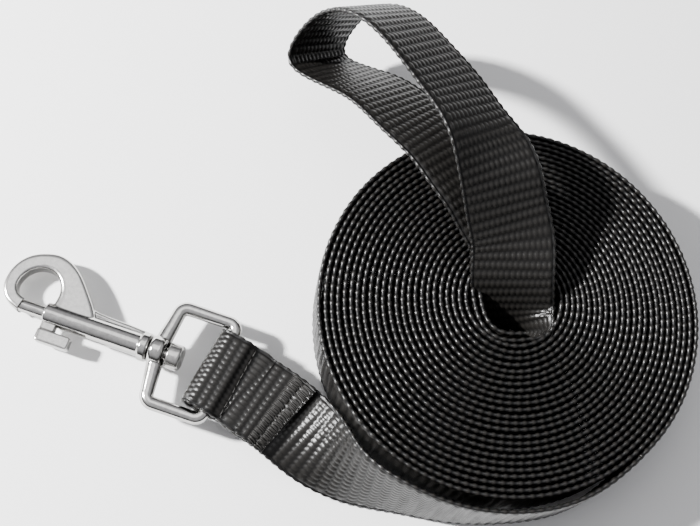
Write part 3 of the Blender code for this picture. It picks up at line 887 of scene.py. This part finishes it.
# ---- the snap ------------------------------------------------------------------------------
@dataclass
class SnapFrame:
    """Axes of the snap, from the joints: X to the eye, Y along its rear bar, Z off its face."""

    origin: np.ndarray
    axes: np.ndarray

    @classmethod
    def from_joints(cls, joints: list[dict]) -> "SnapFrame":
        """Read the frame from the eye's hinge and the snap's swivel."""
        by_name = {j["name"]: j for j in joints}
        along = np.array(by_name["snap_swivel"]["axis"], float)
        bar = np.array(by_name["eye_hinge"]["axis"], float)
        along /= np.linalg.norm(along)
        bar = bar - along * (bar @ along)
        bar /= np.linalg.norm(bar)
        origin = np.array(by_name["eye_hinge"]["pos_m"], float) / MM
        return cls(origin, np.stack([along, bar, np.cross(along, bar)]))

    def place(self, obj: bpy.types.Object) -> None:
        """Move an object's mesh from the snap's own millimetres to the row frame in metres."""
        mesh = obj.data
        points = np.empty(len(mesh.vertices) * 3)
        mesh.vertices.foreach_get("co", points)
        moved = (points.reshape(-1, 3) @ self.axes + self.origin) * MM
        mesh.vertices.foreach_set("co", moved.ravel())
        mesh.update()


@dataclass
class BoltSnap:
    """Hook and barrel casting, sliding bolt, swivel rivet and square eye."""

    frame: SnapFrame
    length: float = 72.2
    thick: float = 5.2
    barrel_front: float = 16.4
    barrel_rear: float = 47.0
    collar_rear: float = 50.0
    barrel_radius: float = 3.5
    collar_radius: float = 4.4
    bore_radius: float = 2.35
    bore_rear: float = 48.2
    pin_hole: float = 1.85
    slot_rear: float = 30.8
    slot_width: float = 3.7
    bolt_tip: float = 7.9
    bolt_rear: float = 28.0
    bolt_radius: float = 2.0
    wire: float = 2.0
    side_wire: float = 2.1
    eye_half: float = 15.2
    eye_corner: float = 2.6
    eye_front: float = -17.9
    hub_front: float = -21.9
    hub_length: float = 4.6
    hub_radius: float = 4.6
    rib_top: Pairs = ((28.5, 6.3), (31.0, 5.5), (36.0, 5.1), (42.0, 4.95))
    pin_head: tuple[float, float] = (56.0, 60.2)
    head_radius: float = 3.9
    voxel: float = 0.19
    outer: Pairs = (
        (8.3, -2.3), (4.4, -0.6), (1.4, 3.2), (1.0, 6.6), (2.2, 11.2), (5.8, 15.4), (9.9, 17.3),
        (13.8, 18.0), (18.2, 16.9), (23.0, 13.5), (27.0, 9.2), (31.0, 4.0), (32.4, 1.2))
    inner: Pairs = (
        (9.2, 1.9), (6.4, 3.0), (5.2, 5.2), (5.6, 8.0), (7.6, 10.9), (10.6, 12.3), (13.4, 12.3),
        (15.8, 11.2), (17.7, 8.9), (18.4, 6.4), (18.2, 3.8), (17.9, 1.0))

    def along(self, x: float) -> float:
        """Distance from the hook's tip to a place on the snap's own axis."""
        return x - self.length

    def outline(self, points: Pairs, count: int) -> np.ndarray:
        """Smooth line through an outline's points, in even steps of its length."""
        rows = np.array(points)
        places = np.r_[0.0, np.cumsum(np.linalg.norm(np.diff(rows, axis=0), axis=1))]
        return spline(rows, places, np.linspace(0.0, places[-1], count))

    def hook(self) -> Shape:
        """Hook band: a squarish section carried round between the outer and inner outlines.

        Across the band the section goes from one outline to the other, and up and down it is a
        superellipse of the hook's thickness, rounder at the outer rim than at the inner one.
        """
        outer, inner = self.outline(self.outer, 150), self.outline(self.inner, 150)
        turn = np.linspace(0, 2 * math.pi, 56, endpoint=False)
        share = 0.5 + 0.5 * np.sign(np.cos(turn)) * np.abs(np.cos(turn)) ** 0.42
        power = np.where(np.cos(turn) > 0, 0.50, 0.34)
        up = self.thick / 2 * np.sign(np.sin(turn)) * np.abs(np.sin(turn)) ** power
        flat = inner[:, None, :] + (outer - inner)[:, None, :] * share[None, :, None]
        flat[..., 0] = self.along(flat[..., 0])
        height = np.broadcast_to(up[None, :, None], (*flat.shape[:2], 1))
        rings = np.concatenate([flat, height], axis=-1)
        return loft(rings)

    def body_solids(self) -> tuple[list[Shape], list[Shape]]:
        """Solids and cutters of the hook and barrel casting."""
        at = self.along
        barrel = turned([
            (at(self.barrel_front), self.bore_radius),
            (at(self.barrel_front), self.barrel_radius - 0.4),
            (at(self.barrel_front + 0.4), self.barrel_radius),
            (at(self.barrel_rear), self.barrel_radius),
            (at(self.barrel_rear + 0.5), self.collar_radius),
            (at(self.collar_rear - 0.6), self.collar_radius),
            (at(self.collar_rear), self.collar_radius - 0.6)])
        rib = np.array([*self.rib_top, (self.barrel_rear + 1, 4.6)])
        ridge = tube(np.stack([at(rib[:, 0]), rib[:, 1] - 1.0, np.zeros(len(rib))], axis=1), 0.95, 24)
        web = rounded_block((at(29.5), 1.5, -0.7), (at(self.barrel_rear + 1), 4.0, 0.7))
        bore = turned([(at(self.barrel_front - 3), self.bore_radius),
                       (at(self.bore_rear), self.bore_radius)], BORE_SIDES)
        seat = turned([(at(self.bolt_tip - 0.3), self.bore_radius),
                       (at(self.barrel_front - 2), self.bore_radius)], BORE_SIDES)
        hole = turned([(at(self.bore_rear - 1), self.pin_hole),
                       (at(self.collar_rear + 1), self.pin_hole)], PIN_SIDES)
        corners = np.array([[-6.5, -1], [-6.5, 1], [0.0, 1], [0.0, -1]]) * (1, self.slot_width / 2)
        ends = np.array([at(self.barrel_front - 1), at(self.slot_rear)])
        slot = loft(np.stack([np.broadcast_to(ends[:, None], (2, 4)),
                              np.broadcast_to(corners[:, 0], (2, 4)),
                              np.broadcast_to(corners[:, 1], (2, 4))], axis=-1))
        return [self.hook(), barrel, ridge, web], [bore, seat, hole, slot]

    def eye_solids(self) -> tuple[list[Shape], list[Shape]]:
        """Solids and cutter of the square eye: a wire with rounded corners, tapered arms and hub.

        The rear half of the wire is a straight bar, quarter circles and straight sides; the arms
        run from the front corners to the hub and thicken towards it.
        """
        corner, front, half = self.eye_corner, self.eye_front, self.eye_half
        bend = np.linspace(0, math.pi / 2, 12)
        rear = np.stack([-corner + corner * np.cos(bend),
                         half - corner + corner * np.sin(bend)], axis=1)
        turn = np.radians(np.linspace(0, 78, 12))
        fore = np.stack([front + corner - corner * np.sin(turn),
                         half - corner + corner * np.cos(turn)], axis=1)
        hub_middle = self.hub_front + self.hub_length / 2
        root = np.array([[hub_middle + 0.4, 3.2], [hub_middle, 0.5]])
        arm = np.linspace(fore[-1], root[0], 14)[1:]
        side = np.vstack([rear, fore, arm, root[1:]])
        grow = np.r_[np.full(len(rear), self.wire), np.full(len(fore), self.side_wire),
                     np.linspace(self.side_wire, 2.5, 13), 2.6]
        level = np.zeros(len(side))
        upper = tube(np.column_stack([side, level]), grow, WIRE_SIDES)
        lower = tube(np.column_stack([side * (1, -1), level]), grow, WIRE_SIDES)
        spots = np.zeros((20, 3))
        spots[:, 1] = np.linspace(-half + corner, half - corner, 20)
        bar = tube(spots, self.wire, WIRE_SIDES)
        start, stop = self.hub_front, self.hub_front + self.hub_length
        hub = turned([(start, self.hub_radius - 1.1), (start + 0.35, self.hub_radius - 0.35),
                      (start + 1.1, self.hub_radius), (stop - 1.1, self.hub_radius),
                      (stop - 0.35, self.hub_radius - 0.35), (stop, self.hub_radius - 1.1)])
        hole = turned([(start - 3, self.pin_hole), (stop + 3, self.pin_hole)], PIN_SIDES)
        return [upper, lower, bar, hub], [hole]

    def bolt_solids(self) -> list[Shape]:
        """Solids of the bolt: round rod, stem through the slot and the thumb lever's bar."""
        at = self.along
        rod = turned([(at(self.bolt_tip), self.bolt_radius - 0.5),
                      (at(self.bolt_tip + 0.5), self.bolt_radius),
                      (at(self.bolt_rear), self.bolt_radius)], BORE_SIDES)
        stem = rounded_block((at(16.6), -7.0, -1.5), (at(21.2), -0.6, 1.5), 0.25)
        lever = rounded_block((at(16.3), -9.0, -1.9), (at(27.0), -5.0, 1.9), 0.22)
        return [rod, stem, lever]

    def rivet(self) -> Shape:
        """Rivet: flange, shank and a head whose end face is hammered into shallow lobes.

        The head's end is a disc of rings; its points sink by a cosine of five times the angle,
        more towards the rim.
        """
        at = self.along
        front, rear = at(self.pin_head[0]), at(self.pin_head[1])
        rings = [(at(46.9), 2.05), (at(47.9), 2.05), (at(47.9), 1.45), (front, 1.45),
                 (front, self.head_radius - 0.3), (front + 0.3, self.head_radius),
                 (rear - 0.7, self.head_radius), (rear - 0.2, self.head_radius - 0.3)]
        rings += [(rear, r) for r in np.linspace(self.head_radius - 0.7, 0.4, 9)]
        shape = turned(rings, 80)
        points = shape.points
        spoke = np.hypot(points[:, 1], points[:, 2])
        angle = np.arctan2(points[:, 2], points[:, 1])
        end = points[:, 0] > rear - 0.1
        lobes = 0.5 + 0.5 * np.cos(5 * angle + 0.7)
        dent = 0.22 * lobes * np.sin(np.clip(spoke / self.head_radius, 0, 1) * 2.6)
        points[:, 0] -= np.where(end, dent + 0.12 * np.exp(-(spoke / 1.1) ** 2), 0.0)
        return shape

    def build(self, plating: bpy.types.Material, peened: bpy.types.Material) -> None:
        """Cast, place and dress the four metal pieces."""
        solids, cutters = self.body_solids()
        casts = (
            ("snap_casting", solids, cutters, Body.SNAP, "snap_body"),
            ("square_eye_casting", *self.eye_solids(), Body.EYE, "square_eye"),
            ("bolt_and_lever", self.bolt_solids(), [], Body.BOLT, "snap_bolt"),
        )
        for name, parts, cuts, body, node in casts:
            obj = cast(name, parts, cuts, self.voxel, 5)
            self.frame.place(obj)
            finish_piece(obj, plating, body, "plated_metal", node)
        rivet = cast("headed_rivet", [self.rivet()], [], self.voxel * 0.75, 2)
        self.frame.place(rivet)
        rivet.data.set_sharp_from_angle(angle=math.radians(40))
        finish_piece(rivet, peened, Body.SNAP, "plated_metal", "swivel_rivet")


# ---- the studio ----------------------------------------------------------------------------
@dataclass
class Studio:
    """Pale floor, soft lights and the camera."""

    eye_point: tuple[float, float, float] = (-28.97, -120.58, 379.3)
    look_point: tuple[float, float, float] = (1.73, 2.62, 0.0)
    lens: float = 65.4
    floor_size: float = 6.0

    def floor(self) -> None:
        """Lay a pale floor just under the leash."""
        half = self.floor_size / 2
        mesh = bpy.data.meshes.new("floor")
        mesh.from_pydata([(-half, -half, -0.0002), (half, -half, -0.0002), (half, half, -0.0002),
                          (-half, half, -0.0002)], [], [(0, 1, 2, 3)])
        floor = bpy.data.objects.new("floor", mesh)
        bpy.context.scene.collection.objects.link(floor)
        nodes = Nodes("pale_floor")
        nodes.shader.inputs["Base Color"].default_value = (0.88, 0.88, 0.88, 1.0)
        nodes.shader.inputs["Roughness"].default_value = 0.7
        mesh.materials.append(nodes.material)

    def sky(self) -> None:
        """Surround the floor with a room that is dark at the horizon and pale overhead."""
        world = bpy.data.worlds.new("studio")
        world.use_nodes = True
        tree = world.node_tree
        place = tree.nodes.new("ShaderNodeTexCoord")
        split = tree.nodes.new("ShaderNodeSeparateXYZ")
        ramp = tree.nodes.new("ShaderNodeValToRGB")
        stops = ((0.0, 0.02), (0.25, 0.05), (0.6, 0.45), (1.0, 0.6))
        for _ in stops[2:]:
            ramp.color_ramp.elements.new(1.0)
        for element, (height, bright) in zip(ramp.color_ramp.elements, stops):
            element.position = height
            element.color = (bright, bright, bright * 1.04, 1.0)
        tree.links.new(place.outputs["Generated"], split.inputs["Vector"])
        tree.links.new(split.outputs["Z"], ramp.inputs["Fac"])
        tree.links.new(ramp.outputs["Color"], tree.nodes["Background"].inputs["Color"])
        bpy.context.scene.world = world

    def light(self, name: str, place: tuple[float, ...], size: float, power: float) -> None:
        """Add a square soft light that faces the middle of the leash."""
        data = bpy.data.lights.new(name, "AREA")
        data.size = size
        data.energy = power
        lamp = bpy.data.objects.new(name, data)
        lamp.location = place
        lamp.rotation_euler = (-Vector(place)).to_track_quat("-Z", "Y").to_euler()
        bpy.context.scene.collection.objects.link(lamp)

    def camera(self) -> None:
        """Stand the camera over the leash with +Y up in the view."""
        data = bpy.data.cameras.new("camera")
        data.lens = self.lens
        data.sensor_width = 36.0
        data.clip_start = 0.01
        camera = bpy.data.objects.new("camera", data)
        place, target = (Vector(p) * MM for p in (self.eye_point, self.look_point))
        back = (place - target).normalized()
        right = Vector((0.0, 1.0, 0.0)).cross(back).normalized()
        up = back.cross(right)
        turned_axes = Matrix((right, up, back)).transposed().to_4x4()
        camera.matrix_world = Matrix.Translation(place) @ turned_axes
        bpy.context.scene.collection.objects.link(camera)
        bpy.context.scene.camera = camera

    def build(self) -> None:
        """Set up the whole studio."""
        self.floor()
        self.sky()
        self.light("key", (-0.75, 0.12, 0.62), 0.07, 48.0)
        self.light("overhead", (-0.1, 0.3, 1.2), 0.9, 3.0)
        self.camera()


def main() -> None:
    """Build the leash and the studio."""
    logging.basicConfig(level=logging.INFO, format="%(message)s")
    webbing, thread = WEBBING.make(), THREAD.make()
    snap_frame = SnapFrame.from_joints(frame["joints"])
    strap = Strap()
    ribbon = strap.build(snap_frame.origin, webbing)
    Stitching().build(ribbon, strap, thread)
    BoltSnap(snap_frame).build(PLATING.make(), PEENED.make())
    spring = frame["nodes"]["bolt_spring"]
    spring.data.materials.clear()
    spring.data.materials.append(SPRING_WIRE.make())
    Studio().build()


if __name__ == "__main__":
    main()
